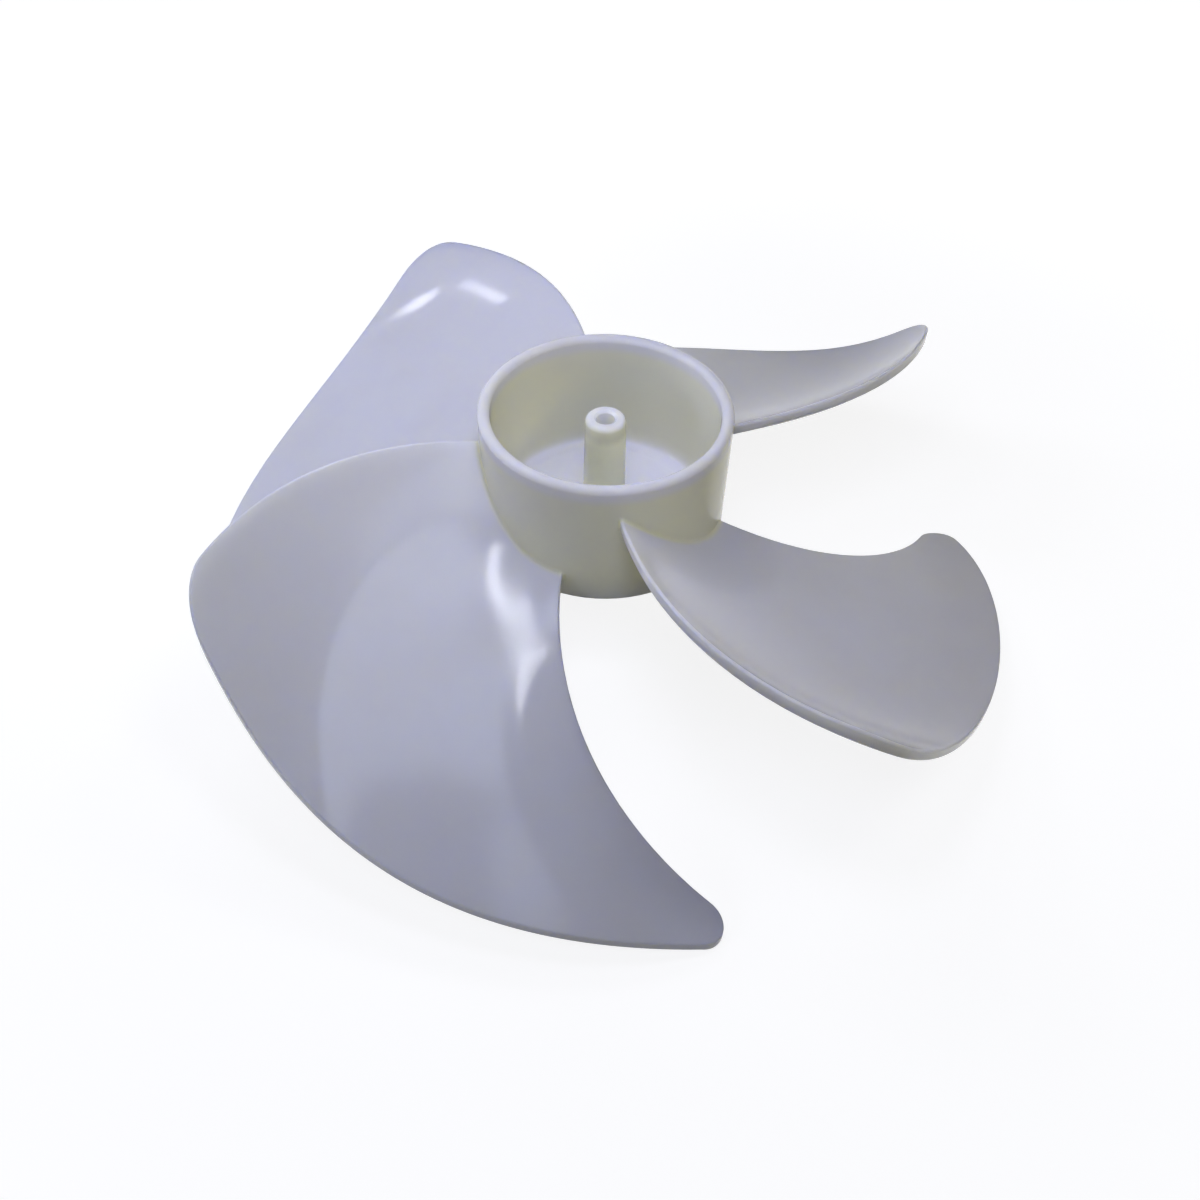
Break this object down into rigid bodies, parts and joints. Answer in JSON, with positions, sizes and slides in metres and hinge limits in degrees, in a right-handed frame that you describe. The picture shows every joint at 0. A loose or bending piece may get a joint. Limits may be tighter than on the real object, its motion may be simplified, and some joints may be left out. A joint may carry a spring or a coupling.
{
  "type": "refrigerator fan blade",
  "caption": "One-piece moulded axial fan wheel for a refrigerator: a cup hub with a central shaft boss and broad twisted blades round its outside wall.",
  "frame": {"origin": "on the spin axis, in the plane that the lowest blade tips rest on", "axes": "+Z along the spin axis, out of the hub's mouth and the shaft bore; seen from the picture's side, +X is to the right and +Y points away"},
  "size_m": [0.151, 0.151, 0.0485],
  "materials": {
    "plastic": "semi-gloss moulded off-white plastic, slightly milky"
  },
  "bodies": {
    "root": {"fan_blade": "plastic"}
  },
  "joints": []
}
